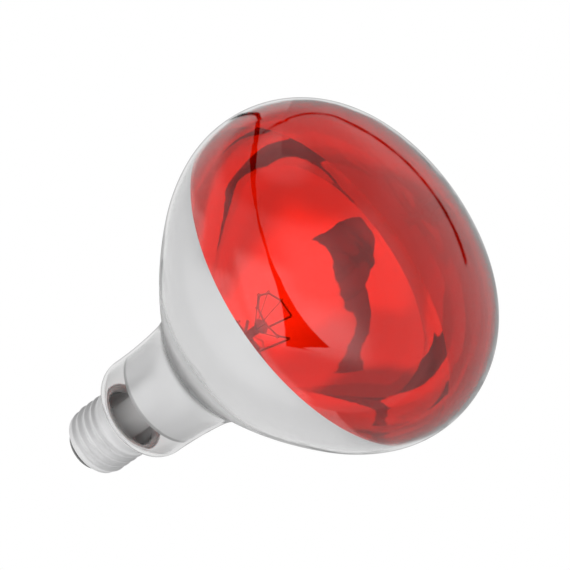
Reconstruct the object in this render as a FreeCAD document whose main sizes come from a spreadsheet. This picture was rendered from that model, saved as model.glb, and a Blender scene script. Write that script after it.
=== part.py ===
"""Infrared heat lamp bulb with a blown reflector envelope and a screw cap.

The lamp's axis is Z. The centre of the cap's end contact is the origin,
and +Z runs from the cap to the red face. Lengths are in millimetres.
"""
import FreeCAD, Part
import math
import os
import Sketcher

Vector = FreeCAD.Vector
UP = Vector(0, 0, 1)

# Driving sizes, in millimetres and degrees
SIZES = {
    # outline of the blown glass, from the face down to the neck
    "face_rise": 43.0,
    "bulb_radius": 62.5,
    "back_height": 90.6,
    "belly_share": 0.8605,
    "flank_angle": 18.4,
    "flank_share": 0.6457,
    "back_radius": 156.0,
    "throat_share": 0.2649,
    "throat_angle": 7.2,
    "waist_share": 1.8322,
    "waist_height": 35.9,
    "neck_radius": 19.25,
    "shoulder_radius": 7.7,
    "shoulder_height": 32.8,
    "seat_radius": 1.5,
    "neck_tube_radius": 11.2,
    "neck_tube_foot": 13.0,
    "glass_wall": 1.0,
    # coats inside the glass
    "coat_thickness": 0.2,
    "mirror_edge_height": 41.6,
    "colour_line_drop": 4.5,
    # screw shell of the cap
    "thread_pitch": 3.629,
    "thread_crest_radius": 13.15,
    "thread_root_radius": 12.1,
    "thread_start": 4.9,
    "thread_end": 21.0,
    "thread_fade": 2.6,
    "nose_radius": 12.25,
    "shell_foot_height": 4.0,
    "shell_foot_radius": 10.9,
    "skirt_radius": 13.1,
    "rim_radius": 13.5,
    "rim_height": 25.0,
    "lip_height": 0.9,
    "shell_sheet": 0.4,
    "notch_width": 1.0,
    "notch_depth": 0.8,
    # end contact and its insulator
    "contact_flat_radius": 1.6,
    "solder_radius": 3.3,
    "solder_height": 0.5,
    "solder_bulge": 3.0,
    "plate_radius": 4.8,
    "plate_thickness": 0.4,
    "eyelet_radius": 1.0,
    "insulator_base_radius": 5.4,
    "insulator_floor": 4.6,
    "insulator_wall_radius": 11.4,
    "insulator_well_radius": 8.0,
    "insulator_height": 6.4,
    # cement between the cap and the neck
    "cement_foot": 15.0,
    "cement_step_height": 20.4,
    "cement_step": 1.2,
    "fit_clearance": 0.05,
    # glass stem
    "flare_height": 8.5,
    "flare_curve": 10.0,
    "stem_radius": 6.5,
    "stem_wall": 1.0,
    "press_foot": 43.0,
    "press_neck": 6.0,
    "press_height": 13.0,
    "press_width": 15.0,
    "press_thickness": 4.4,
    "exhaust_radius": 2.6,
    "exhaust_wall": 0.9,
    "exhaust_foot": 12.0,
    "rod_radius": 1.6,
    "rod_length": 33.0,
    "button_radius": 3.0,
    "button_rise": 1.4,
    "button_crown": 1.8,
    # filament, its leads and its supports
    "filament_height": 98.0,
    "ring_radius": 9.0,
    "corner_step": 40.0,
    "coil_radius": 0.35,
    "lead_radius": 0.4,
    "lead_spacing": 8.6,
    "lead_bend_rise": 6.0,
    "tail_radius": 0.2,
    "tail_level": 10.4,
    "support_radius": 0.18,
    "hook_gap": 0.5,
    "side_solder_radius": 1.1,
}

doc = FreeCAD.newDocument("heat_lamp")
sheet = doc.addObject("Spreadsheet::Sheet", "sizes")
for row, (alias, number) in enumerate(SIZES.items(), start=1):
    sheet.set("A%d" % row, alias)
    sheet.set("B%d" % row, str(number))
    sheet.setAlias("B%d" % row, alias)
doc.recompute()


class Measure:
    """A length, and the rule that ties it to the sheet."""

    def __init__(self, value, rule):
        self.value = value
        self.rule = rule

    def joined(self, sign, other, value):
        other_rule = other.rule if isinstance(other, Measure) else repr(other)
        return Measure(value, "(%s %s %s)" % (self.rule, sign, other_rule))

    def __add__(self, other):
        return self.joined("+", other, self.value + plain(other))

    def __sub__(self, other):
        return self.joined("-", other, self.value - plain(other))

    def __mul__(self, other):
        return self.joined("*", other, self.value * plain(other))


def plain(item):
    return item.value if isinstance(item, Measure) else item


def size(alias):
    """A driving size as a measure."""
    return Measure(float(sheet.get(alias)), "sizes." + alias)


def mm(alias):
    """A driving size as a plain number."""
    return float(sheet.get(alias))


ZERO = Measure(0.0, "0")

# Radii of the blown outline, each a share of the height that it has to bridge
widest_height = size("waist_height") + size("back_height")
belly_radius = size("belly_share") * size("face_rise")
flank_radius = size("flank_share") * size("back_height")
throat_radius = size("throat_share") * size("back_height")
waist_radius = size("waist_share") * size("back_height")
colour_line_height = widest_height - size("colour_line_drop")


# Bodies and sketches
def new_body(name):
    body = doc.addObject("PartDesign::Body", name)
    body.Label = name
    return body


def new_sketch(body, name, role="XZ_Plane"):
    plane = next(item for item in body.Origin.OriginFeatures if item.Role == role)
    sketch = body.newObject("Sketcher::SketchObject", name)
    sketch.AttachmentSupport = [(plane, "")]
    sketch.MapMode = "FlatFace"
    return sketch


def revolve(body, sketch):
    """Turns a sketch about its vertical axis; sketch X is the radius and sketch Y the height."""
    revolution = body.newObject("PartDesign::Revolution", body.Name + "_turning")
    revolution.Profile = sketch
    revolution.ReferenceAxis = (sketch, ["V_Axis"])
    revolution.Angle = 360.0
    return revolution


def arc_between(centre, radius, start, end):
    """The minor arc between two points, and the numbers of its start and end."""
    angles = [math.atan2(point[1] - centre[1], point[0] - centre[0]) for point in (start, end)]
    forward = (angles[1] - angles[0]) % (2 * math.pi) < math.pi
    low, high = angles if forward else (angles[1], angles[0])
    circle = Part.Circle(Vector(centre[0], centre[1], 0), UP, radius)
    return Part.ArcOfCircle(circle, low, high), (1, 2) if forward else (2, 1)


def segment(start, end):
    return Part.LineSegment(Vector(start[0], start[1], 0), Vector(end[0], end[1], 0)), (1, 2)


def tie(sketch, kind, index, point, measure):
    """Ties a point's distance from the sketch's origin along X or Y to the sheet."""
    if measure.value == 0.0:
        axis = -2 if kind == "X" else -1
        sketch.addConstraint(Sketcher.Constraint("PointOnObject", index, point, axis))
        return
    distance = Sketcher.Constraint("Distance" + kind, -1, 1, index, point, measure.value)
    sketch.setExpression("Constraints[%d]" % sketch.addConstraint(distance), measure.rule)


def tie_radius(sketch, index, radius):
    at = sketch.addConstraint(Sketcher.Constraint("Radius", index, radius.value))
    sketch.setExpression("Constraints[%d]" % at, radius.rule)


def join(sketch, first, first_point, second, second_point, kind="Coincident"):
    sketch.addConstraint(Sketcher.Constraint(kind, first, first_point, second, second_point))


def turned_body(name, corners, rounds=None):
    """A turned piece from its corners (radius, height), listed anticlockwise.

    rounds holds (radius, side) for each side that is an arc, under the number of
    the corner that it follows; side is 1 for a full arc and -1 for a hollow one.
    """
    rounds = rounds or {}
    body = new_body(name)
    sketch = new_sketch(body, name + "_outline")
    spots = [(radius.value, height.value) for radius, height in corners]
    drawn = []
    for number, start in enumerate(spots):
        end = spots[(number + 1) % len(spots)]
        if number in rounds:
            radius, side = rounds[number]
            half = math.dist(start, end) / 2
            reach = side * math.sqrt(radius.value**2 - half**2) / (2 * half)
            centre = ((start[0] + end[0]) / 2 - (end[1] - start[1]) * reach,
                      (start[1] + end[1]) / 2 + (end[0] - start[0]) * reach)
            geometry, points = arc_between(centre, radius.value, start, end)
        else:
            geometry, points = segment(start, end)
        index = sketch.addGeometry(geometry, False)
        drawn.append((index, points))
        if number in rounds:
            tie_radius(sketch, index, rounds[number][0])
    for (index, points), (other, other_points) in zip(drawn, drawn[1:] + drawn[:1]):
        join(sketch, index, points[1], other, other_points[0])
    for (index, points), (radius, height) in zip(drawn, corners):
        tie(sketch, "X", index, points[0], radius)
        tie(sketch, "Y", index, points[0], height)
    revolve(body, sketch)
    return body


# Outline of the glass: circles that meet in line, from the face to the neck tube
FULL = -1
HOLLOW = 1


def toward(start, end, reach):
    """The point at a distance from start, on the way to end."""
    span = math.dist(start, end)
    return tuple(a + (b - a) * reach / span for a, b in zip(start, end))


def crossing(first, first_reach, second, second_reach):
    """Where two circles cross, on the side nearer to the lamp's axis."""
    span = math.dist(first, second)
    along = (first_reach**2 - second_reach**2 + span**2) / (2 * span)
    across = math.sqrt(first_reach**2 - along**2)
    base = toward(first, second, along)
    unit = ((second[0] - first[0]) / span, (second[1] - first[1]) / span)
    return min((base[0] - unit[1] * turn * across, base[1] + unit[0] * turn * across)
               for turn in (1, -1))


def glass_circles():
    """Each circle of the outline: its centre, radius, side, and the ties of its centre."""
    belly_x = size("bulb_radius") - belly_radius
    rise = size("face_rise")
    dome_rule = "((%s^2 + %s^2 - %s^2) / (2 * (%s - %s)))"
    dome_radius = Measure(
        (belly_x.value**2 + rise.value**2 - belly_radius.value**2) / (2 * (rise.value - belly_radius.value)),
        dome_rule % (belly_x.rule, rise.rule, belly_radius.rule, rise.rule, belly_radius.rule))
    belly = (belly_x.value, widest_height.value)
    dome = (0.0, widest_height.value + rise.value - dome_radius.value)

    lean = math.radians(mm("flank_angle"))
    step = flank_radius - belly_radius
    flank_z = widest_height + step * Measure(math.sin(lean), "sin(sizes.flank_angle)")
    flank = (belly[0] - step.value * math.cos(lean), flank_z.value)

    waist_x = size("neck_radius") + waist_radius
    waist = (waist_x.value, mm("waist_height"))
    lean = math.radians(mm("throat_angle"))
    step = waist_radius - throat_radius
    throat_z = size("waist_height") + step * Measure(math.sin(lean), "sin(sizes.throat_angle)")
    throat = (waist[0] - step.value * math.cos(lean), throat_z.value)
    back = crossing(flank, mm("back_radius") - flank_radius.value,
                    throat, mm("back_radius") + throat_radius.value)

    reach = mm("shoulder_radius") + waist_radius.value
    drop = mm("waist_height") - mm("shoulder_height")
    shoulder = (waist[0] - math.sqrt(reach**2 - drop**2), mm("shoulder_height"))
    reach = mm("shoulder_radius") + mm("seat_radius")
    seat_x = mm("neck_tube_radius") + mm("seat_radius")
    seat = (seat_x, shoulder[1] - math.sqrt(reach**2 - (seat_x - shoulder[0])**2))
    return [
        (dome, dome_radius, FULL, {"X": ZERO}),
        (belly, belly_radius, FULL, {"X": belly_x, "Y": widest_height}),
        (flank, flank_radius, FULL, {"Y": flank_z}),
        (back, size("back_radius"), FULL, {}),
        (throat, throat_radius, HOLLOW, {"Y": throat_z}),
        (waist, waist_radius, HOLLOW, {"X": waist_x, "Y": size("waist_height")}),
        (shoulder, size("shoulder_radius"), FULL, {"Y": size("shoulder_height")}),
        (seat, size("seat_radius"), HOLLOW, {}),
    ]


CIRCLES = glass_circles()


def meeting_point(number, depth):
    """Where circle number meets the next one, at a depth below the surface."""
    centre, radius, side, _ = CIRCLES[number]
    other, other_radius, other_side, _ = CIRCLES[number + 1]
    deep = radius.value + side * depth
    outward = side != other_side or radius.value > other_radius.value
    return toward(centre, other, deep if outward else -deep)


def cut_point(number, depth, surface_depth, height):
    """Where a cut square to the surface at a height comes to a depth."""
    centre, radius, side, _ = CIRCLES[number]
    surface = radius.value + side * surface_depth
    rise = (height - centre[1]) / surface
    deep = radius.value + side * depth
    return centre[0] - side * deep * math.sqrt(1.0 - rise**2), centre[1] + deep * rise


def glass_run(sketch, depth, surface_depth, top=None, foot=None):
    """Draws the arcs of the outline at one depth, from the top down, and ties them to the sheet."""
    drawn = []
    last = len(CIRCLES) - 1
    for number, (centre, radius, side, ties) in enumerate(CIRCLES):
        deep = radius.value + side * depth.value
        crown = (centre[0], centre[1] + deep)
        start = meeting_point(number - 1, depth.value) if number else crown
        end = meeting_point(number, depth.value) if number < last else (centre[0] - deep, centre[1])
        if (top and end[1] >= top.value) or (foot and start[1] <= foot.value):
            continue
        if top and start[1] > top.value:
            start = cut_point(number, depth.value, surface_depth.value, top.value)
        if foot and end[1] < foot.value:
            end = cut_point(number, depth.value, surface_depth.value, foot.value)
        geometry, points = arc_between(centre, deep, start, end)
        index = sketch.addGeometry(geometry, False)
        if drawn:
            join(sketch, drawn[-1][0], drawn[-1][1][1], index, points[0], "Tangent")
        tie_radius(sketch, index, radius + depth * side)
        for kind, measure in ties.items():
            tie(sketch, kind, index, 3, measure)
        drawn.append((index, points, start, end))
    return drawn


def square_cut(sketch, outer, outer_end, inner, inner_end, height):
    """Closes a layer with a line square to its surface, at a height of its outer side."""
    index, points, *spots = outer
    inner_index, inner_points, *inner_spots = inner
    geometry, ends = segment(spots[outer_end], inner_spots[inner_end])
    line = sketch.addGeometry(geometry, False)
    join(sketch, index, points[outer_end], line, ends[0])
    join(sketch, inner_index, inner_points[inner_end], line, ends[1])
    sketch.addConstraint(Sketcher.Constraint("PointOnObject", index, 3, line))
    tie(sketch, "Y", index, points[outer_end], height)


def axis_line(sketch, outer, inner):
    """Closes a layer along the axis."""
    index, points, start, _ = outer
    inner_index, inner_points, inner_start, _ = inner
    geometry, ends = segment(start, inner_start)
    line = sketch.addGeometry(geometry, False)
    join(sketch, index, points[0], line, ends[0])
    join(sketch, inner_index, inner_points[0], line, ends[1])
    tie(sketch, "X", line, ends[0], ZERO)
    tie(sketch, "X", line, ends[1], ZERO)


def tube_lines(sketch, outer, inner):
    """Closes the wall with the straight neck tube."""
    foot = size("neck_tube_foot")
    feet = []
    for index, points, _, end in (outer, inner):
        geometry, ends = segment(end, (end[0], foot.value))
        line = sketch.addGeometry(geometry, False)
        join(sketch, index, points[1], line, ends[0], "Tangent")
        tie(sketch, "Y", line, ends[1], foot)
        feet.append((line, ends[1], (end[0], foot.value)))
    geometry, ends = segment(feet[0][2], feet[1][2])
    base = sketch.addGeometry(geometry, False)
    for (line, foot_point, _), base_point in zip(feet, ends):
        join(sketch, line, foot_point, base, base_point)
    tie(sketch, "X", feet[0][0], feet[0][1], size("neck_tube_radius"))
    tie(sketch, "X", feet[1][0], feet[1][1], size("neck_tube_radius") - size("glass_wall"))


def glass_layer(name, outside, inside, top=None, foot=None):
    """A wall of revolution between two depths of the glass outline."""
    body = new_body(name)
    sketch = new_sketch(body, name + "_outline")
    outer = glass_run(sketch, outside, outside, top, foot)
    inner = glass_run(sketch, inside, outside, top, foot)
    if top:
        square_cut(sketch, outer[0], 0, inner[0], 0, top)
    else:
        axis_line(sketch, outer[0], inner[0])
    if foot:
        square_cut(sketch, outer[-1], 1, inner[-1], 1, foot)
    else:
        tube_lines(sketch, outer[-1], inner[-1])
    revolve(body, sketch)
    return body


glass_inside = size("glass_wall")
coat_inside = glass_inside + size("coat_thickness")
envelope = glass_layer("glass_envelope", ZERO, glass_inside)
reflector_coat = glass_layer("reflector_coat", glass_inside, coat_inside,
                             top=colour_line_height, foot=size("mirror_edge_height"))
red_filter_coat = glass_layer("red_filter_coat", glass_inside, coat_inside, foot=colour_line_height)


# Computed pieces
def shaped(name, shape):
    """A piece whose form is computed."""
    piece = doc.addObject("Part::Feature", name)
    piece.Label = name
    piece.Shape = shape
    piece.Placement = FreeCAD.Placement()
    return piece


# Screw shell: rolled thread, nose and rim in one sheet
SHELL_COLUMNS = 8
ROWS_PER_PITCH = 4


def blend(value, low, high):
    """Rises smoothly from 0 at low to 1 at high."""
    share = min(max((value - low) / (high - low), 0.0), 1.0)
    return share * share * (3.0 - 2.0 * share)


def shell_rows(inset):
    """Height, radius and thread swing of each row of the sheet's surface."""
    foot_z = mm("shell_foot_height")
    rim_z = mm("rim_height")
    nose = mm("nose_radius") - inset
    mean = (mm("thread_crest_radius") + mm("thread_root_radius")) / 2 - inset
    swing = (mm("thread_crest_radius") - mm("thread_root_radius")) / 2
    skirt = mm("skirt_radius") - inset
    step = mm("thread_pitch") / ROWS_PER_PITCH
    rows = [(foot_z, mm("shell_foot_radius") - inset, 0.0),
            (foot_z, (mm("shell_foot_radius") + mm("nose_radius")) / 2 - inset, 0.0),
            (foot_z + step / 2, nose, 0.0)]
    height = mm("thread_start")
    while height < rim_z - mm("lip_height"):
        start = blend(height, mm("thread_start"), mm("thread_start") + mm("thread_fade"))
        end = blend(height, mm("thread_end") - mm("thread_fade"), mm("thread_end"))
        radius = nose + (mean - nose) * start + (skirt - mean) * end
        rows.append((height, radius, swing * start * (1.0 - end)))
        height += step
    rows.append((rim_z - mm("lip_height") / 3, mm("rim_radius") - inset, 0.0))
    rows.append((rim_z, mm("rim_radius") - inset, 0.0))
    return rows


def threaded_solid(inset):
    """The space inside the sheet's surface, set in by a depth."""
    around = 3.0 / (2.0 + math.cos(2 * math.pi / SHELL_COLUMNS))
    along = 3.0 / (2.0 + math.cos(2 * math.pi / ROWS_PER_PITCH))
    rows = shell_rows(inset)
    poles = []
    for column in range(SHELL_COLUMNS):
        turn = 2 * math.pi * column / SHELL_COLUMNS
        poles.append([])
        for height, radius, swing in rows:
            wave = math.cos(2 * math.pi * height / mm("thread_pitch") - turn)
            reach = around * (radius + along * swing * wave)
            poles[-1].append(Vector(reach * math.cos(turn), reach * math.sin(turn), height))
    spans = len(rows) - 3
    surface = Part.BSplineSurface()
    surface.buildFromPolesMultsKnots(
        poles, [1] * (SHELL_COLUMNS + 1), [4] + [1] * (spans - 1) + [4],
        list(range(SHELL_COLUMNS + 1)), list(range(spans + 1)), True, False, 3, 3)
    side = surface.toShape()
    faces = [side]
    for edge in side.Edges:
        if edge.isClosed() and edge.BoundBox.ZLength < 1e-6:
            faces.append(Part.Face(Part.Wire(edge)))
    shell = Part.makeShell(faces)
    shell.sewShape()
    solid = Part.Solid(shell)
    if solid.Volume < 0:
        solid.reverse()
    return solid


def slot_box(width, low, reach_from, reach_to):
    """A straight channel on the side of the side lead, from a height upward."""
    height = mm("rim_height") + mm("lip_height") - low
    return Part.makeBox(reach_to - reach_from, width, height, Vector(-reach_to, -width / 2, low))


rim_slot = slot_box(mm("notch_width"), mm("rim_height") - mm("notch_depth"), 0.0, 2 * mm("rim_radius"))
shell_shape = threaded_solid(0.0).cut(threaded_solid(mm("shell_sheet"))).cut(rim_slot)
screw_shell = shaped("screw_shell", shell_shape)

# End contact: insulator, plate and solder tip
clearance = size("fit_clearance")
plate_top = size("solder_height") + size("plate_thickness")
insulator_edge = size("shell_foot_radius") - size("shell_sheet") - clearance
cap_insulator = turned_body("cap_insulator", [
    (size("eyelet_radius"), plate_top),
    (size("insulator_base_radius"), plate_top),
    (insulator_edge, size("shell_foot_height") - clearance),
    (insulator_edge, size("shell_foot_height") + clearance),
    (size("insulator_wall_radius"), size("thread_start") + clearance),
    (size("insulator_wall_radius"), size("insulator_height")),
    (size("insulator_well_radius"), size("insulator_height")),
    (size("solder_radius"), size("insulator_floor")),
    (size("eyelet_radius"), size("insulator_floor")),
])
contact_plate = turned_body("contact_plate", [
    (size("eyelet_radius"), size("solder_height")),
    (size("plate_radius"), size("solder_height")),
    (size("plate_radius"), plate_top),
    (size("eyelet_radius"), plate_top),
])
contact_solder = turned_body("contact_solder", [
    (ZERO, ZERO),
    (size("contact_flat_radius"), ZERO),
    (size("solder_radius"), size("solder_height")),
    (size("eyelet_radius"), size("solder_height")),
    (size("eyelet_radius"), plate_top),
    (ZERO, plate_top),
], {1: (size("solder_bulge"), 1)})

# Cement that fills the gap between the neck tube and the shell
seat_centre, seat_radius, _, _ = CIRCLES[-1]
cement_inner = size("neck_tube_radius") + clearance
cement_outer = size("thread_root_radius") - size("shell_sheet") - clearance
cement_mouth = size("skirt_radius") - size("shell_sheet") - clearance
cement_round = seat_radius - clearance
cement_top = size("rim_height") - clearance * 2
cement_lip = seat_centre[0] - math.sqrt(cement_round.value**2 - (cement_top.value - seat_centre[1])**2)
cement_ring = turned_body("cement_ring", [
    (cement_inner, size("cement_foot")),
    (cement_outer, size("cement_foot")),
    (cement_outer, size("cement_step_height")),
    (cement_mouth, size("cement_step_height") + size("cement_step")),
    (cement_mouth, cement_top),
    (Measure(cement_lip, "%.6f" % cement_lip), cement_top),
    (cement_inner, Measure(seat_centre[1], "%.6f" % seat_centre[1])),
], {5: (cement_round, 1)})
doc.recompute()
lead_slot = slot_box(3 * mm("tail_radius"), 0.0, 0.0, mm("rim_radius"))
capping_cement = shaped("capping_cement", cement_ring.Shape.cut(lead_slot))
doc.removeObject("cement_ring")

# Glass stem: flare sealed to the neck tube, tube and press
foot = size("neck_tube_foot")
flare_top = foot + size("flare_height")
stem_bore = size("stem_radius") - size("stem_wall")
flare_edge = size("neck_tube_radius") - size("glass_wall")
press_half = size("press_thickness") * 0.5
stem_tube = turned_body("stem_tube", [
    (ZERO, size("press_foot")),
    (stem_bore, size("press_foot")),
    (stem_bore, flare_top),
    (flare_edge, foot - size("stem_wall")),
    (size("neck_tube_radius"), foot - size("stem_wall")),
    (size("neck_tube_radius"), foot),
    (flare_edge, foot),
    (size("stem_radius"), flare_top),
    (size("stem_radius"), size("press_foot")),
    (press_half, size("press_foot") + size("press_neck")),
    (ZERO, size("press_foot") + size("press_neck")),
], {2: (size("flare_curve"), 1), 6: (size("flare_curve"), -1)})
doc.recompute()


def rod(radius, points):
    """A round wire along straight runs with mitred corners."""
    path = Part.makePolygon([Vector(*point) for point in points])
    first = Vector(*points[0])
    circle = Part.Wire(Part.makeCircle(radius, first, Vector(*points[1]) - first))
    sweep = Part.BRepOffsetAPI.MakePipeShell(path)
    sweep.setTransitionMode(1)
    sweep.add(circle)
    sweep.build()
    sweep.makeSolid()
    return sweep.shape()


press_top = mm("press_foot") + mm("press_height")
press_reach = (mm("press_width") - mm("press_thickness")) / 2
blade = Part.makeBox(2 * press_reach, mm("press_thickness"), mm("press_height"),
                     Vector(-press_reach, -mm("press_thickness") / 2, mm("press_foot")))
for end in (-press_reach, press_reach):
    blade = blade.fuse(Part.makeCylinder(press_half.value, mm("press_height"),
                                         Vector(end, 0, mm("press_foot"))))
stem_shape = stem_tube.Shape.fuse(blade).removeSplitter()
lead_x = mm("lead_spacing") / 2
for side in (-lead_x, lead_x):
    stem_shape = stem_shape.cut(Part.makeCylinder(mm("lead_radius"), mm("press_height"),
                                                  Vector(side, 0, mm("press_foot"))))
glass_stem = shaped("glass_stem", stem_shape)
doc.removeObject("stem_tube")

exhaust_bore = size("exhaust_radius") - size("exhaust_wall")
exhaust_tube = turned_body("exhaust_tube", [
    (ZERO, size("exhaust_foot")),
    (size("exhaust_radius"), size("exhaust_foot") + size("exhaust_radius")),
    (size("exhaust_radius"), size("press_foot")),
    (exhaust_bore, size("press_foot")),
    (exhaust_bore, size("exhaust_foot") + size("exhaust_radius")),
    (ZERO, size("exhaust_foot") + size("exhaust_wall")),
], {0: (size("exhaust_radius"), 1), 4: (exhaust_bore, -1)})
press_top_rule = size("press_foot") + size("press_height")
rod_top = press_top_rule + size("rod_length")
button_middle = rod_top + size("button_rise")
crown_radius = Measure((mm("button_radius")**2 + mm("button_crown")**2) / (2 * mm("button_crown")),
                       "((sizes.button_radius^2 + sizes.button_crown^2) / (2 * sizes.button_crown))")
support_rod = turned_body("support_rod", [
    (ZERO, press_top_rule),
    (size("rod_radius"), press_top_rule),
    (size("rod_radius"), rod_top),
    (size("button_radius"), button_middle),
    (ZERO, button_middle + size("button_crown")),
], {2: (size("button_radius"), 1), 3: (crown_radius, 1)})
doc.recompute()

# Filament: a ring of straight coiled runs, open on the +Y side
coil_z = mm("filament_height")


def ring_point(radius, number, height):
    turn = math.radians(90.0 + mm("corner_step") * number)
    return radius * math.cos(turn), radius * math.sin(turn), height


filament = shaped("filament", rod(mm("coil_radius"), [
    ring_point(mm("ring_radius"), number, coil_z) for number in range(1, 9)]))

# Leads: stout inside the bulb, thin where they leave the press for the cap
coil_foot = coil_z - mm("coil_radius")


def lead(side, corner, tail):
    stout = rod(mm("lead_radius"), [
        (side * lead_x, 0, mm("press_foot")),
        (side * lead_x, 0, press_top + mm("lead_bend_rise")),
        ring_point(mm("ring_radius"), corner, coil_foot - 2 * mm("coil_radius")),
        ring_point(mm("ring_radius"), corner, coil_foot),
    ])
    thin = rod(mm("tail_radius"), [(side * lead_x, 0, mm("press_foot"))] + tail)
    return stout.fuse(thin)


channel_x = mm("neck_tube_radius") + mm("fit_clearance") + mm("tail_radius")
mouth_x = mm("skirt_radius") - mm("shell_sheet") - mm("notch_width") / 2
exit_z = mm("rim_height") - mm("notch_depth") / 2
centre_lead = shaped("centre_lead", lead(1, 8, [
    (lead_x, 0, mm("exhaust_foot")),
    (0, 0, mm("insulator_height")),
    (0, 0, plate_top.value),
]))
side_lead = shaped("side_lead", lead(-1, 1, [
    (-lead_x, 0, mm("exhaust_foot")),
    (-lead_x - mm("stem_wall"), 0, mm("tail_level")),
    (-channel_x, 0, mm("tail_level")),
    (-channel_x, 0, mm("cement_step_height")),
    (-mouth_x, 0, mm("cement_step_height") + mm("cement_step")),
    (-mouth_x, 0, exit_z),
    (-mm("rim_radius"), 0, exit_z),
]))

# Solder bead that joins the side lead to the rim
bead = Part.makeSphere(mm("side_solder_radius"), Vector(-mm("rim_radius"), 0, exit_z - mm("notch_depth") / 2))
below_glass = Part.makeCylinder(2 * mm("rim_radius"), mm("rim_height"))
bead = bead.common(below_glass)
for neighbour in (shell_shape, capping_cement.Shape, side_lead.Shape, threaded_solid(mm("shell_sheet"))):
    bead = bead.cut(neighbour)
side_solder = shaped("side_solder", max(bead.Solids, key=lambda solid: solid.Volume))

# Supports: wires from the button that hook round the coil at each inner corner
button_z = button_middle.value
hook_z = mm("support_radius") + mm("coil_radius") + mm("fit_clearance")
hooks = []
for number in range(2, 8):
    hooks.append(rod(mm("support_radius"), [
        ring_point(mm("button_radius") - mm("support_radius"), number, button_z),
        ring_point(mm("ring_radius"), number, coil_z - hook_z),
        ring_point(mm("ring_radius") + hook_z + mm("support_radius"), number, coil_z - mm("coil_radius")),
        ring_point(mm("ring_radius") + hook_z + mm("support_radius"), number, coil_z + mm("hook_gap")),
        ring_point(mm("ring_radius"), number, coil_z + hook_z + mm("support_radius")),
    ]).cut(support_rod.Shape))
filament_supports = shaped("filament_supports", Part.makeCompound(hooks))
doc.recompute()

PIECES = [
    envelope, reflector_coat, red_filter_coat, screw_shell, cap_insulator, contact_plate,
    contact_solder, side_solder, capping_cement, glass_stem, exhaust_tube, support_rod,
    centre_lead, side_lead, filament, filament_supports,
]
for item in doc.Objects:
    troubles = {"Invalid", "Error"}.intersection(item.State)
    if troubles:
        raise RuntimeError("%s is %s" % (item.Label, troubles))
os.makedirs("parts", exist_ok=True)
for piece in PIECES:
    shape = piece.Shape
    if shape.isNull() or not shape.isValid():
        raise RuntimeError(piece.Label + " has no valid shape")
    shape.exportStep("parts/%s.step" % piece.Label)
    print("%-20s %9.1f mm3, %d solid(s)" % (piece.Label, shape.Volume, len(shape.Solids)))
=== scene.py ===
"""Infrared heat lamp bulb with a mirrored back, a red face and a screw cap.

Object frame: +Z runs along the lamp from the cap's end contact to the face,
in metres. The lamp's sizes are written in millimetres, and MM turns them into
metres.
"""
import bpy
import math
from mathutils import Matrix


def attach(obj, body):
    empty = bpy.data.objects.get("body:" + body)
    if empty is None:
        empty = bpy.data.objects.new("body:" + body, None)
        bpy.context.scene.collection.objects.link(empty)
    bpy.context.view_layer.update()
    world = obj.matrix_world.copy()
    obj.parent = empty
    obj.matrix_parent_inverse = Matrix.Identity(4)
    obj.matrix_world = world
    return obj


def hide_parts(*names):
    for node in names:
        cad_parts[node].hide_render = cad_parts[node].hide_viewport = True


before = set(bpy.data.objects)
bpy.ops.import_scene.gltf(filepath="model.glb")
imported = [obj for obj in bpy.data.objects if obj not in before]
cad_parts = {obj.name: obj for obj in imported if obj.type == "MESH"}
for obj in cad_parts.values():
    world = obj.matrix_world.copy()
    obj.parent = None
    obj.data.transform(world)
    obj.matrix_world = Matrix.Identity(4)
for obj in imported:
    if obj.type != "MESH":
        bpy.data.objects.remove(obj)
MM = 0.001


def note_size():
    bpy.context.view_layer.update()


note_size()

# Blown glass: whole length, then the radius and lean of each circle of its outline from the
# face to the neck tube, and the heights above the end contact that place them
LENGTH = 169.5
BULB_RADIUS = 62.5
WIDEST = 126.5
BELLY = 37.0
FLANK = 58.5
FLANK_LEAN = math.radians(18.4)
BACK = 156.0
THROAT = 24.0
THROAT_LEAN = math.radians(7.2)
WAIST = 166.0
WAIST_HEIGHT = 35.9
NECK = 19.25
SHOULDER = 7.7
SHOULDER_HEIGHT = 32.8
SEAT = 1.5
TUBE = 11.2
TUBE_FOOT = 13.0

# Layers: wall, film and mirror, with the heights where the colour and the mirror end
GLASS_WALL = 1.0
COAT = 0.16
COAT_GAP = 0.02
COLOUR_LINE = 122.0
MIRROR_EDGE = 41.6

# Fineness of the meshes; MERGE_REACH is in metres
STEPS_ROUND = 192
STEP_LENGTH = 1.2
STEP_TURN = 0.06
LEAST_STEPS = 3
MERGE_REACH = 0.000002
SMOOTH_UNDER = math.radians(40)


# Tools of the workshop
def clear_selection():
    """Leaves edit mode with nothing selected."""
    if bpy.context.object and bpy.context.object.mode != "OBJECT":
        bpy.ops.object.mode_set(mode="OBJECT")
    bpy.ops.object.select_all(action="DESELECT")


def start_outline(radius, height):
    """A new piece that is one point of an outline in the XZ plane."""
    clear_selection()
    bpy.ops.mesh.primitive_plane_add(size=MM, location=(0, 0, 0))
    piece = bpy.context.object
    bpy.ops.object.mode_set(mode="EDIT")
    bpy.ops.mesh.select_all(action="SELECT")
    bpy.ops.mesh.merge(type="CENTER")
    bpy.ops.transform.translate(value=(radius * MM, 0, height * MM))
    return piece


def line_to(start, end):
    """Draws a straight piece of outline from the last point."""
    move = ((end[0] - start[0]) * MM, 0, (end[1] - start[1]) * MM)
    bpy.ops.mesh.extrude_region_move(TRANSFORM_OT_translate={"value": move})


def swing(centre, angle, steps):
    """Draws an arc of outline from the last point, clockwise for a positive angle."""
    bpy.ops.mesh.spin(steps=steps, angle=angle, center=(centre[0] * MM, 0, centre[1] * MM),
                      axis=(0, -1, 0))


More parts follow.
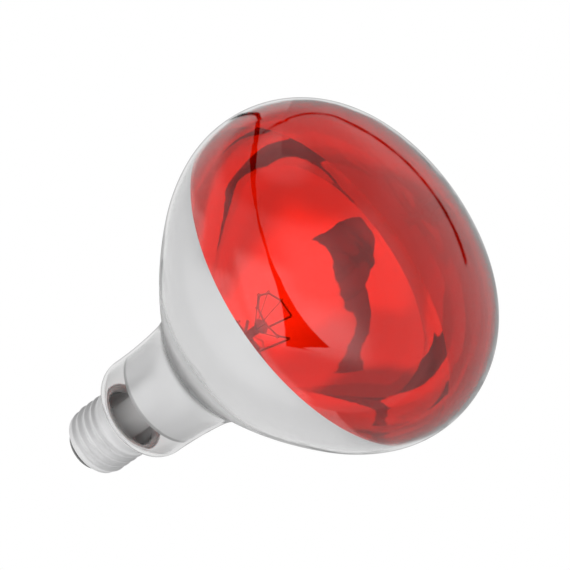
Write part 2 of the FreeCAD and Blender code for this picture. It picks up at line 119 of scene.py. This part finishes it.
def clean_skin():
    """Merges doubled points of the mesh in hand and points its faces outwards."""
    bpy.ops.mesh.select_all(action="SELECT")
    bpy.ops.mesh.remove_doubles(threshold=MERGE_REACH)
    bpy.ops.mesh.normals_make_consistent(inside=False)


def turn_on_lathe(piece, name):
    """Turns the drawn outline round the lamp's axis and closes it."""
    bpy.ops.mesh.select_all(action="SELECT")
    bpy.ops.mesh.spin(steps=STEPS_ROUND, angle=2 * math.pi, center=(0, 0, 0), axis=(0, 0, 1))
    clean_skin()
    bpy.ops.object.mode_set(mode="OBJECT")
    bpy.ops.object.shade_smooth_by_angle(angle=SMOOTH_UNDER)
    piece.name = name
    return piece


# Circles of the glass outline, from the face to the neck tube
def toward(start, end, reach):
    """The point at a distance from start, on the line to end."""
    span = math.dist(start, end)
    return (start[0] + (end[0] - start[0]) * reach / span,
            start[1] + (end[1] - start[1]) * reach / span)


def glass_circles():
    """Centre, radius and side (1 full, -1 hollow) of each circle; each meets the next in line."""
    belly = (BULB_RADIUS - BELLY, WIDEST)
    rise = LENGTH - WIDEST
    dome_radius = (belly[0]**2 + rise**2 - BELLY**2) / (2 * (rise - BELLY))
    dome = (0.0, LENGTH - dome_radius)
    flank = (belly[0] - (FLANK - BELLY) * math.cos(FLANK_LEAN),
             belly[1] + (FLANK - BELLY) * math.sin(FLANK_LEAN))
    waist = (NECK + WAIST, WAIST_HEIGHT)
    throat = (waist[0] - (WAIST - THROAT) * math.cos(THROAT_LEAN),
              waist[1] + (WAIST - THROAT) * math.sin(THROAT_LEAN))
    span = math.dist(flank, throat)
    along = ((BACK - FLANK)**2 - (BACK + THROAT)**2 + span**2) / (2 * span)
    aside = math.sqrt((BACK - FLANK)**2 - along**2)
    base = toward(flank, throat, along)
    side = ((throat[1] - flank[1]) / span * aside, (flank[0] - throat[0]) / span * aside)
    back = min((base[0] + side[0], base[1] + side[1]), (base[0] - side[0], base[1] - side[1]))
    drop = WAIST_HEIGHT - SHOULDER_HEIGHT
    shoulder = (waist[0] - math.sqrt((SHOULDER + WAIST)**2 - drop**2), SHOULDER_HEIGHT)
    seat_x = TUBE + SEAT
    seat = (seat_x,
            shoulder[1] - math.sqrt((SHOULDER + SEAT)**2 - (seat_x - shoulder[0])**2))
    return [(dome, dome_radius, 1), (belly, BELLY, 1), (flank, FLANK, 1), (back, BACK, 1),
            (throat, THROAT, -1), (waist, WAIST, -1), (shoulder, SHOULDER, 1), (seat, SEAT, -1)]


CIRCLES = glass_circles()


def heading(centre, point):
    """Direction of a point as seen from a centre, clockwise from +Z."""
    return math.atan2(point[0] - centre[0], point[1] - centre[1])


def meeting(number):
    """Where circle number meets the next one."""
    centre, radius, side = CIRCLES[number]
    other, other_radius, other_side = CIRCLES[number + 1]
    outward = side != other_side or radius > other_radius
    return toward(centre, other, radius if outward else -radius)


def glass_arcs(top=None, foot=None):
    """Centre, radius, side, first heading and turn of each arc between two heights."""
    arcs = []
    for number, (centre, radius, side) in enumerate(CIRCLES):
        first = meeting(number - 1) if number else (0.0, centre[1] + radius)
        last = meeting(number) if number < len(CIRCLES) - 1 else (centre[0] - radius, centre[1])
        if (top and last[1] >= top) or (foot and first[1] <= foot):
            continue
        ends = [heading(centre, first), heading(centre, last)]
        for place, limit in ((0, top), (1, foot)):
            if limit and (first[1] > limit if place == 0 else last[1] < limit):
                edge = math.acos((limit - centre[1]) / radius)
                ends[place] = edge if side > 0 else -edge
        turn = (ends[1] - ends[0] + math.pi) % (2 * math.pi) - math.pi
        arcs.append((centre, radius, side, ends[0], turn))
    return arcs


def on_arc(arc, depth, share):
    """A point of an arc at a depth below the surface; share 0 is its start and 1 its end."""
    centre, radius, side, first, turn = arc
    deep = radius - side * depth
    angle = first + turn * share
    return centre[0] + deep * math.sin(angle), centre[1] + deep * math.cos(angle)


def arc_steps(arc):
    """How many straight steps an arc is drawn in."""
    _, radius, _, _, turn = arc
    return max(LEAST_STEPS, round(abs(radius * turn) / STEP_LENGTH),
               round(abs(turn) / STEP_TURN))


def draw_layer(name, outside, inside, top=None, foot=None):
    """A layer of the bulb between two depths, drawn as an outline and turned on the lathe."""
    arcs = glass_arcs(top, foot)
    piece = start_outline(*on_arc(arcs[0], outside, 0))
    for arc in arcs:
        swing(arc[0], arc[4], arc_steps(arc))
    if foot is None:
        tube_length = CIRCLES[-1][0][1] - TUBE_FOOT
        line_to((0, 0), (0, -tube_length))
        line_to((0, 0), (outside - inside, 0))
        line_to((0, 0), (0, tube_length))
    else:
        line_to(on_arc(arcs[-1], outside, 1), on_arc(arcs[-1], inside, 1))
    for arc in reversed(arcs):
        swing(arc[0], -arc[4], arc_steps(arc))
    if top:
        line_to(on_arc(arcs[0], inside, 0), on_arc(arcs[0], outside, 0))
    return turn_on_lathe(piece, name)


# Materials
NOISE_LOW = 0.32
NOISE_HIGH = 0.68


def add_sockets(group, direction, sockets):
    """Gives a node group its named inputs or outputs."""
    for name, kind in sockets:
        group.interface.new_socket(name=name, in_out=direction, socket_type=kind)


def map_range(tree, value, low, high):
    """Spreads the middle of a noise value between two other values."""
    node = tree.nodes.new("ShaderNodeMapRange")
    node.inputs["From Min"].default_value = NOISE_LOW
    node.inputs["From Max"].default_value = NOISE_HIGH
    tree.links.new(value, node.inputs["Value"])
    tree.links.new(low, node.inputs["To Min"])
    tree.links.new(high, node.inputs["To Max"])
    return node.outputs["Result"]


def build_mottle():
    """Shared uneven finish: roughness and tone that wander over a surface, and a fine height."""
    group = bpy.data.node_groups.new("mottle", "ShaderNodeTree")
    add_sockets(group, "INPUT", [("Scale", "NodeSocketFloat"), ("Stretch", "NodeSocketVector"),
                                 ("Smooth", "NodeSocketFloat"), ("Rough", "NodeSocketFloat"),
                                 ("Dark", "NodeSocketFloat"), ("Light", "NodeSocketFloat")])
    add_sockets(group, "OUTPUT", [("Roughness", "NodeSocketFloat"), ("Tone", "NodeSocketFloat"),
                                  ("Height", "NodeSocketFloat")])
    given = group.nodes.new("NodeGroupInput").outputs
    made = group.nodes.new("NodeGroupOutput").inputs
    coordinates = group.nodes.new("ShaderNodeTexCoord")
    stretched = group.nodes.new("ShaderNodeVectorMath")
    stretched.operation = "MULTIPLY"
    group.links.new(coordinates.outputs["Object"], stretched.inputs[0])
    group.links.new(given["Stretch"], stretched.inputs[1])

    def noise_at(share, detail):
        """Noise at a share of the finish's own scale."""
        scale = group.nodes.new("ShaderNodeMath")
        scale.operation = "MULTIPLY"
        scale.inputs[1].default_value = share
        group.links.new(given["Scale"], scale.inputs[0])
        noise = group.nodes.new("ShaderNodeTexNoise")
        noise.inputs["Detail"].default_value = detail
        group.links.new(stretched.outputs["Vector"], noise.inputs["Vector"])
        group.links.new(scale.outputs["Value"], noise.inputs["Scale"])
        return noise.outputs["Fac"]

    fine = noise_at(share=1.0, detail=4.0)
    broad = noise_at(share=0.23, detail=2.0)
    group.links.new(map_range(group, fine, given["Smooth"], given["Rough"]), made["Roughness"])
    group.links.new(map_range(group, broad, given["Dark"], given["Light"]), made["Tone"])
    group.links.new(fine, made["Height"])
    return group


MOTTLE = build_mottle()


def new_material(name, color, metallic=0.0, **extra):
    """A polished material; extra sets more of the shader's sockets, with _ for each space."""
    material = bpy.data.materials.new(name)
    material.use_nodes = True
    shader = material.node_tree.nodes["Principled BSDF"]
    shader.inputs["Base Color"].default_value = (*color, 1)
    shader.inputs["Metallic"].default_value = metallic
    shader.inputs["Roughness"].default_value = 0.0
    for socket, value in extra.items():
        shader.inputs[socket.replace("_", " ")].default_value = value
    return material


def finish(material, scale, tone, roughness=None, stretch=(1, 1, 1), bump=None, rings=()):
    """Lays the mottle over a material.

    Tone and roughness wander between two values each, and bump is a strength
    and a distance in metres. Each ring is what darkened_ring takes.
    """
    tree = material.node_tree
    shader = tree.nodes["Principled BSDF"]
    mottle = tree.nodes.new("ShaderNodeGroup")
    mottle.node_tree = MOTTLE
    sockets = mottle.inputs
    sockets["Scale"].default_value = scale
    sockets["Stretch"].default_value = stretch
    sockets["Smooth"].default_value, sockets["Rough"].default_value = roughness or (0.0, 0.0)
    sockets["Dark"].default_value, sockets["Light"].default_value = tone
    toned = mottle.outputs["Tone"]
    for ring in rings:
        toned = darkened_ring(tree, toned, *ring)
    tint = tree.nodes.new("ShaderNodeMix")
    tint.data_type = "RGBA"
    tint.blend_type = "MULTIPLY"
    tint.inputs["Factor"].default_value = 1.0
    tint.inputs["A"].default_value = shader.inputs["Base Color"].default_value
    tree.links.new(toned, tint.inputs["B"])
    tree.links.new(tint.outputs["Result"], shader.inputs["Base Color"])
    if roughness:
        tree.links.new(mottle.outputs["Roughness"], shader.inputs["Roughness"])
    if bump:
        node = tree.nodes.new("ShaderNodeBump")
        node.inputs["Strength"].default_value, node.inputs["Distance"].default_value = bump
        tree.links.new(mottle.outputs["Height"], node.inputs["Height"])
        tree.links.new(node.outputs["Normal"], shader.inputs["Normal"])
    return material


def darkened_ring(tree, tone, height, half_width, depth):
    """Lowers a tone in a soft ring round the lamp; depth is the share it loses at the middle."""
    place = tree.nodes.new("ShaderNodeTexCoord")
    split = tree.nodes.new("ShaderNodeSeparateXYZ")
    tree.links.new(place.outputs["Object"], split.inputs["Vector"])
    steps = [("SUBTRACT", height * MM), ("ABSOLUTE", 0.0), ("DIVIDE", half_width * MM),
             ("MINIMUM", 1.0), ("POWER", 2.0), ("MULTIPLY", depth), ("ADD", 1.0 - depth),
             ("MULTIPLY", tone)]
    value = split.outputs["Z"]
    for kind, second in steps:
        node = tree.nodes.new("ShaderNodeMath")
        node.operation = kind
        tree.links.new(value, node.inputs[0])
        if isinstance(second, bpy.types.NodeSocket):
            tree.links.new(second, node.inputs[1])
        else:
            node.inputs[1].default_value = second
        value = node.outputs["Value"]
    return value


def dull_in_fold(material, height, half_width, roughness):
    """Roughens glass in a soft ring round the lamp, where blowing drew it into a fold."""
    tree = material.node_tree
    sheen = darkened_ring(tree, 1.0, height, half_width, 1.0)
    scale = tree.nodes.new("ShaderNodeMapRange")
    scale.inputs["To Min"].default_value = roughness
    scale.inputs["To Max"].default_value = 0.0
    tree.links.new(sheen, scale.inputs["Value"])
    tree.links.new(scale.outputs["Result"], tree.nodes["Principled BSDF"].inputs["Roughness"])


# Darker rings on the silver (height, half width, depth): painted shade in and under the crease
PAINTED_SHADE_IN_CREASE = (71.6, 7.4, 0.76)
PAINTED_SHADE_UNDER_CREASE = (67.2, 1.6, 0.3)
# A darker ring along the mirror's edge
DARKER_AT_MIRROR_EDGE = (42.1, 1.0, 0.45)

clear_glass = finish(
    new_material("clear_glass", (1, 1, 1), Transmission_Weight=1.0, IOR=1.5),
    scale=22, tone=(0.97, 1.0), bump=(0.12, 0.0012))
dull_in_fold(clear_glass, height=77.0, half_width=12.0, roughness=0.6)
stem_glass = finish(
    new_material("stem_glass", (0.96, 0.97, 0.97), Transmission_Weight=0.2, IOR=1.5),
    scale=120, tone=(0.8, 1.0), roughness=(0.1, 0.25))
silver_face = finish(
    new_material("silver_face", (0.78, 0.78, 0.785), 1.0),
    scale=26, tone=(0.96, 1.0), roughness=(0.02, 0.05), bump=(0.15, 0.001))
# The back of the silver is painted darker in rings: painted shade in and under the crease
silver_back = finish(
    new_material("silver_back", (0.9, 0.9, 0.905), 1.0),
    scale=30, tone=(0.94, 1.0), roughness=(0.36, 0.44),
    rings=(PAINTED_SHADE_IN_CREASE, PAINTED_SHADE_UNDER_CREASE, DARKER_AT_MIRROR_EDGE))
red_film = finish(
    new_material("red_film", (1.0, 0.1, 0.025), Transmission_Weight=1.0, IOR=1.6,
                 Specular_Tint=(1.0, 0.06, 0.06, 1.0)),
    scale=40, tone=(0.95, 1.0))
rolled_aluminium = finish(
    new_material("rolled_aluminium", (0.95, 0.95, 0.955), 0.4),
    scale=260, tone=(0.88, 1.0), roughness=(0.36, 0.52), stretch=(1, 1, 7), bump=(0.12, 0.0002))
black_glass = finish(
    new_material("black_glass", (0.014, 0.014, 0.015)),
    scale=400, tone=(0.6, 1.0), roughness=(0.1, 0.24))
nickelled_brass = finish(
    new_material("nickelled_brass", (0.78, 0.71, 0.55), 1.0),
    scale=500, tone=(0.8, 1.0), roughness=(0.2, 0.4))
soft_solder = finish(
    new_material("soft_solder", (0.74, 0.74, 0.75), 1.0),
    scale=600, tone=(0.75, 1.0), roughness=(0.18, 0.42), bump=(0.3, 0.0003))
cement = finish(
    new_material("cement", (0.62, 0.61, 0.6)),
    scale=900, tone=(0.8, 1.0), roughness=(0.8, 0.95), bump=(0.5, 0.0004))
nickel_wire = finish(
    new_material("nickel_wire", (0.9, 0.89, 0.87), 0.4),
    scale=700, tone=(0.8, 1.0), roughness=(0.3, 0.5))
tungsten_wire = finish(
    new_material("tungsten_wire", (0.86, 0.86, 0.87), 0.4),
    scale=900, tone=(0.8, 1.0), roughness=(0.35, 0.6))


def hand_over(piece, node, material):
    """Gives a new piece its material and its body, and hides the CAD node that it replaces."""
    piece.data.materials.clear()
    piece.data.materials.append(material)
    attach(piece, "root")
    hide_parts(node)


# Blown glass and the layers inside it
hand_over(draw_layer("bulb_wall", 0.0, GLASS_WALL), "glass_envelope", clear_glass)
film_outside = GLASS_WALL + COAT_GAP
film_inside = film_outside + COAT
mirror_layer = draw_layer("mirror_layer", film_outside, film_inside,
                          top=COLOUR_LINE, foot=MIRROR_EDGE)
hand_over(mirror_layer, "reflector_coat", silver_back)
# The faces that look at the filament are the polished ones
mirror_layer.data.materials.append(silver_face)
for face in mirror_layer.data.polygons:
    if face.normal.x * face.center.x + face.normal.y * face.center.y < 0:
        face.material_index = 1
hand_over(draw_layer("red_layer", film_outside, film_inside, foot=COLOUR_LINE),
          "red_filter_coat", red_film)

# Black insulator, cast in one bulge from the shell's foot to the end contact: the radius and
# height of each corner
INSULATOR = [(1.05, 0.92), (4.9, 0.92), (5.3, 0.7), (6.5, 0.28), (7.8, 0.2), (8.7, 0.75),
             (9.5, 1.9), (10.42, 3.4), (10.45, 4.05), (11.35, 4.95), (11.35, 6.4), (8.0, 6.4),
             (3.3, 4.6), (1.05, 4.6)]
insulator = start_outline(*INSULATOR[0])
for near, far in zip(INSULATOR, INSULATOR[1:] + INSULATOR[:1]):
    line_to(near, far)
hand_over(turn_on_lathe(insulator, "insulator"), "cap_insulator", black_glass)

# Coiled filament: one straight coil, copied to each run of a ring that is open at the leads
RING_RADIUS = 9.0
RING_HEIGHT = 98.0
CORNER_STEP = math.radians(40)
RING_RUNS = range(1, 8)
COIL_RADIUS = 0.31
WIRE_RADIUS = 0.06
WIRE_SIDES = 6
RUN = 2 * RING_RADIUS * math.sin(CORNER_STEP / 2)
COIL_TURNS = 30
STEPS_PER_TURN = 10


def wind_coil():
    """A straight coil of wire along X, its middle at the object's origin."""
    clear_selection()
    bpy.ops.mesh.primitive_circle_add(vertices=WIRE_SIDES, radius=WIRE_RADIUS * MM,
                                      location=(COIL_RADIUS * MM, 0, 0),
                                      rotation=(math.pi / 2, 0, 0))
    bpy.ops.object.transform_apply(location=True, rotation=True, scale=True)
    winding = bpy.context.object.modifiers.new("winding", "SCREW")
    winding.iterations = COIL_TURNS
    winding.screw_offset = RUN * MM / COIL_TURNS
    winding.steps = winding.render_steps = STEPS_PER_TURN
    bpy.ops.object.modifier_apply(modifier="winding")
    bpy.ops.object.mode_set(mode="EDIT")
    clean_skin()
    bpy.ops.transform.translate(value=(0, 0, -RUN / 2 * MM))
    bpy.ops.transform.rotate(value=math.pi / 2, orient_axis="Y", center_override=(0, 0, 0))
    bpy.ops.object.mode_set(mode="OBJECT")
    bpy.ops.object.shade_smooth()
    return bpy.context.object


coil = wind_coil()
runs = []
for number in RING_RUNS:
    clear_selection()
    coil.select_set(True)
    bpy.context.view_layer.objects.active = coil
    bpy.ops.object.duplicate()
    run = bpy.context.object
    turn = math.pi / 2 + CORNER_STEP * (number + 0.5)
    reach = RING_RADIUS * math.cos(CORNER_STEP / 2) * MM
    run.rotation_euler = (0, 0, turn + math.pi / 2)
    run.location = (reach * math.cos(turn), reach * math.sin(turn), RING_HEIGHT * MM)
    runs.append(run)
bpy.data.objects.remove(coil)
clear_selection()
for run in runs:
    run.select_set(True)
bpy.context.view_layer.objects.active = runs[0]
bpy.ops.object.transform_apply(location=True, rotation=True, scale=True)
bpy.ops.object.join()
filament_coils = bpy.context.object
filament_coils.name = "filament_coils"
hand_over(filament_coils, "filament", tungsten_wire)

# Pieces that keep their own shape
KEPT = {
    "screw_shell": rolled_aluminium,
    "contact_plate": nickelled_brass,
    "contact_solder": soft_solder,
    "side_solder": soft_solder,
    "capping_cement": cement,
    "glass_stem": stem_glass,
    "exhaust_tube": stem_glass,
    "support_rod": stem_glass,
    "centre_lead": nickel_wire,
    "side_lead": nickel_wire,
    "filament_supports": nickel_wire,
}
for node, material in KEPT.items():
    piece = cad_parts[node]
    piece.data.materials.clear()
    piece.data.materials.append(material)

# Studio: the room round the lamp. A direction is given in degrees across and up, in the lens's
# own axes: 0 across is where the camera stands, 90 is to its right and 180 behind the lamp.
LIGHT_BOUNCES = 24
GLOSSY_BOUNCES = 12
scene = bpy.context.scene
scene.view_settings.view_transform = "Standard"
scene.cycles.max_bounces = LIGHT_BOUNCES
scene.cycles.transmission_bounces = LIGHT_BOUNCES
scene.cycles.glossy_bounces = GLOSSY_BOUNCES
world = bpy.data.worlds.new("studio")
scene.world = world
world.use_nodes = True
room = world.node_tree

LENS_RIGHT = (-0.0671, 0.7072, 0.7038)
LENS_UP = (-0.6608, -0.5600, 0.4997)
LENS_BACK = (0.7475, -0.4316, 0.5049)
# Light that has crossed more surfaces than this has been inside the bulb, and it sees the room
# turned, because real glass and mirror are less true than these
SURFACES_TO_INSIDE = 7
INSIDE_AXIS = (-0.6466, -0.7396, -0.1865)
INSIDE_TURN = math.radians(-24.5)


def figure(kind, *values, clamp=False):
    """A math node of the room; each value is a number or another node's output."""
    node = room.nodes.new("ShaderNodeMath")
    node.operation = kind
    node.use_clamp = clamp
    for socket, value in zip(node.inputs, values):
        if isinstance(value, bpy.types.NodeSocket):
            room.links.new(value, socket)
        else:
            socket.default_value = value
    return node.outputs["Value"]


light_path = room.nodes.new("ShaderNodeLightPath").outputs
inside = figure("GREATER_THAN", light_path["Transmission Depth"], SURFACES_TO_INSIDE)
outside = figure("SUBTRACT", 1, inside)
look = room.nodes.new("ShaderNodeTexCoord").outputs["Generated"]
turned = room.nodes.new("ShaderNodeVectorRotate")
turned.inputs["Axis"].default_value = INSIDE_AXIS
room.links.new(look, turned.inputs["Vector"])
room.links.new(figure("MULTIPLY", inside, INSIDE_TURN), turned.inputs["Angle"])


def reach_along(axis):
    """How far the direction looked in points along an axis of the lens."""
    node = room.nodes.new("ShaderNodeVectorMath")
    node.operation = "DOT_PRODUCT"
    node.inputs[1].default_value = axis
    room.links.new(turned.outputs["Vector"], node.inputs[0])
    return node.outputs["Value"]


to_lens = reach_along(LENS_BACK)
across = figure("DEGREES", figure("ARCTAN2", reach_along(LENS_RIGHT), to_lens))
up = figure("DEGREES", figure("ARCSINE", reach_along(LENS_UP)))


def past(value, edge, softness):
    """Rises from 0 to 1 as a value passes an edge."""
    node = room.nodes.new("ShaderNodeMapRange")
    node.interpolation_type = "SMOOTHSTEP"
    node.inputs["From Min"].default_value = edge
    node.inputs["From Max"].default_value = edge + softness
    room.links.new(value, node.inputs["Value"])
    return node.outputs["Result"]


def short_of(value, edge, softness):
    """Falls from 1 to 0 as a value comes up to an edge."""
    return past(figure("SUBTRACT", edge, value), 0, softness)


def band(value, low, high, softness):
    """1 between two edges and 0 outside them."""
    return figure("MULTIPLY", past(value, low, softness),
                  figure("SUBTRACT", 1, past(value, high, softness)))


def overlap(first, *others):
    """1 where every mask is 1."""
    for other in others:
        first = figure("MULTIPLY", first, other)
    return first


def drawn_edge(points):
    """Degrees across of a drawn edge, at the height that is looked at.

    Each point is degrees up and degrees across. The curve holds both as 0 to 1.
    """
    node = room.nodes.new("ShaderNodeFloatCurve")
    curve = node.mapping.curves[0]
    ends = [(-90, points[0][1])] + points + [(90, points[-1][1])]
    spots = [((height + 90) / 180, (side + 180) / 360) for height, side in ends]
    curve.points[0].location = spots[0]
    curve.points[1].location = spots[-1]
    for spot in spots[1:-1]:
        curve.points.new(*spot)
    for point in curve.points:
        point.handle_type = "VECTOR"
    node.mapping.update()
    room.links.new(figure("DIVIDE", figure("ADD", up, 90), 180), node.inputs["Value"])
    return figure("SUBTRACT", figure("MULTIPLY", node.outputs["Value"], 360), 180)


def either(off, through):
    """One value for light that stays outside the bulb and one for light from inside it."""
    return figure("ADD", figure("MULTIPLY", off, outside), figure("MULTIPLY", through, inside))


def shine(base, value, mask):
    """Lays a panel of a given brightness over the room."""
    return figure("ADD", figure("MULTIPLY", base, figure("SUBTRACT", 1, mask)),
                  figure("MULTIPLY", mask, value))


# Panels, each laid over the ones before it
low_down = short_of(up, 26, 5)
far_side = past(figure("ADD", across, either(0, 16)), 164, 6)
right_side = overlap(outside, past(across, 84, 8))
overhead = overlap(outside, band(up, 40, 64, 12))
left_side = overlap(short_of(across, -90, 8), low_down, outside)
low_far_side = overlap(far_side, low_down)
far_strip = overlap(band(up, -22, 0, 6), short_of(across, -158, 5), outside)
low_left_panel = overlap(band(up, -80, -4, 9), band(across, -128, -66, 12), outside)
high_far_side = overlap(far_side, past(up, 20, 1), inside)
high_left_patch = overlap(past(up, 48, 10), band(across, -120, -42, 12), inside)
behind_lamp = overlap(past(figure("MULTIPLY", to_lens, -1), 0.94, 0.045), outside)
seen_in_lamp = figure("ADD", light_path["Is Glossy Ray"], light_path["Is Transmission Ray"],
                      clamp=True)
backdrop = figure("ADD", 0.42, figure("MULTIPLY", light_path["Is Transmission Ray"], 0.22))
left_panel = overlap(band(up, -44, 8, 14), band(across, -64, 0, 12))
front_panel = overlap(band(up, -50, 28, 24), band(across, -24, 30, 26))
front_panel_foot = overlap(band(up, -46, -16, 22), band(across, -24, 22, 26))
PANELS = [(0.32, right_side), (0.24, overhead), (0.8, left_side),
          (either(0.74, 0.46), low_far_side), (0.3, far_strip), (0.98, low_left_panel),
          (0.9, high_far_side), (0.4, high_left_patch),
          (backdrop, overlap(behind_lamp, seen_in_lamp)), (either(1.15, 1.6), left_panel),
          (either(0.75, 1.85), front_panel), (either(1.3, 1.85), front_panel_foot)]
light = either(0.46, 1.06)
for brightness, mask in PANELS:
    light = shine(light, brightness, mask)

# Dark gap between the panels: its two edges as light off the outside of the bulb sees them, and
# as light off the mirror inside does, then the bright hole in it
GAP_LEFT_OFF = [
    (-39.3, 5), (-39, -32.2), (-34.7, -29.9), (-27.7, -26.4), (-20.8, -24.2), (-14, -22.9),
    (-7.6, -22.8), (4.9, -23.9), (10.8, -25.5), (22.7, -28.5), (28.3, -31.5), (39.8, -37.5),
    (45.7, -40.3), (48.8, -43.5), (49, -163.5), (52, -162.8), (59, -157.5), (64.2, -150),
    (69.4, -136), (72.9, -112), (73.5, -60)]
GAP_RIGHT_OFF = [
    (-39.3, 5), (-38.3, -17.1), (-32.5, 11.2), (-28.5, 5.5), (-22.9, -1), (-17.2, -6.1),
    (-11.4, -9.9), (-5.5, -12.9), (0.3, -15.7), (6.3, -17.4), (11.9, -20.6), (17.5, -23.4),
    (23.3, -25.7), (29.2, -27.5), (35, -30.5), (40.6, -34.2), (46.5, -37.4), (52.2, -41.9),
    (58, -47.1), (63.5, -55.3), (68.9, -66.1), (72.1, -86.1), (72.9, -110), (73.5, -115)]
GAP_LEFT_THROUGH = [
    (-46.5, -10), (-45.4, -23.7), (-43, -27.3), (-39, -30.1), (-36.4, -32.3), (-33.8, -34.4),
    (-26.3, -33), (-19.8, -32.2), (-15.3, -32.6), (-10.7, -30), (-6.1, -28.6), (-0.7, -26.6),
    (3, -27.9), (13.3, -29.8), (22.2, -31.2), (29.7, -33.1), (36.7, -33.9), (43.6, -36.7),
    (50.7, -40.2), (55.2, -43.1), (56.4, -30)]
GAP_RIGHT_THROUGH = [
    (-46.5, -36), (-45.4, -23.7), (-43.7, -15.7), (-41.6, -9.8), (-38.7, -4.3), (-33.3, 1.1),
    (-30.7, 3.7), (-29.2, 7.2), (-27, 10.3), (-26.2, 12.8), (-25, 8.9), (-22, 3.2),
    (-17.8, -2.4), (-14.1, -4.9), (-10.3, -7.1), (-5.2, -10.1), (-0.7, -13.1), (5.1, -16.3),
    (13.2, -20.8), (19.7, -25.2), (22.4, -26.7), (28.8, -27.8), (37.6, -29.3), (47.4, -31.2),
    (55.6, -33), (56.4, -48)]
HOLE_LEFT = [
    (48, -40), (48.6, -161.5), (49.1, -161.4), (55.9, -155.4), (61, -147.8), (66, -134.7),
    (68.2, -113), (69, -100)]
HOLE_RIGHT = [
    (45.7, -40.3), (51.2, -45.7), (56.3, -53.2), (61.2, -62.5), (65.6, -75), (67.8, -93),
    (68.2, -112), (69, -120)]
GAP_SOFTNESS = 0.7
ragged = room.nodes.new("ShaderNodeTexNoise")
ragged.inputs["Scale"].default_value = 9
ragged.inputs["Detail"].default_value = 2
room.links.new(turned.outputs["Vector"], ragged.inputs["Vector"])
wander = figure("MULTIPLY", figure("SUBTRACT", ragged.outputs["Fac"], 0.5), either(0.0, 2.2))
gap_left = either(drawn_edge(GAP_LEFT_OFF), drawn_edge(GAP_LEFT_THROUGH))
gap_right = either(drawn_edge(GAP_RIGHT_OFF), drawn_edge(GAP_RIGHT_THROUGH))
in_gap = overlap(
    past(figure("ADD", figure("SUBTRACT", across, gap_left), wander), 0, GAP_SOFTNESS),
    past(figure("ADD", figure("SUBTRACT", gap_right, across), wander), 0, GAP_SOFTNESS))
in_hole = overlap(
    past(figure("SUBTRACT", across, drawn_edge(HOLE_LEFT)), 0, GAP_SOFTNESS),
    short_of(across, drawn_edge(HOLE_RIGHT), GAP_SOFTNESS))
in_gap = overlap(in_gap, figure("SUBTRACT", 1, overlap(in_hole, outside)))
light = shine(light, either(0.0, 0.16), in_gap)

# Dark seams of the room: the drawn line, lowest and highest degrees up, and half width
SEAMS = [
    ([(15, 130), (41.2, 154.2), (46, 161.9), (50.9, 167.6), (54.7, 172.5), (59.4, 179)],
     14, 61, 2.6),
    ([(59, -182), (63.1, -172.1), (65.1, -161.5), (65.8, -150)], 59, 66, 5.0),
    ([(15, -171.5), (28.4, -168.1), (38.5, -167.3), (50, -163.5)], 17, 50, 1.6)]
SEAM_SOFTNESS = 0.8
for points, low, high, half_width in SEAMS:
    from_seam = figure("SUBTRACT", across, drawn_edge(points))
    on_seam = band(from_seam, -half_width, half_width - SEAM_SOFTNESS, SEAM_SOFTNESS)
    light = shine(light, 0.0, overlap(band(up, low, high, 1), on_seam, outside))

# The camera itself sees plain white
background = room.nodes["Background"]
background.inputs["Color"].default_value = (1, 1, 1, 1)
room.links.new(shine(light, 1.0, light_path["Is Camera Ray"]), background.inputs["Strength"])

# Camera, at the photograph's angle
CAMERA_PLACE = (0.516043, -0.305774, 0.4588)
CAMERA_TURNS = (44.7005, -44.7338, 95.4209)
CAMERA_LENS = 130.355
bpy.ops.object.camera_add(location=CAMERA_PLACE,
                          rotation=[math.radians(degrees) for degrees in CAMERA_TURNS])
camera = bpy.context.object
camera.data.lens = CAMERA_LENS
scene.camera = camera

note_size()
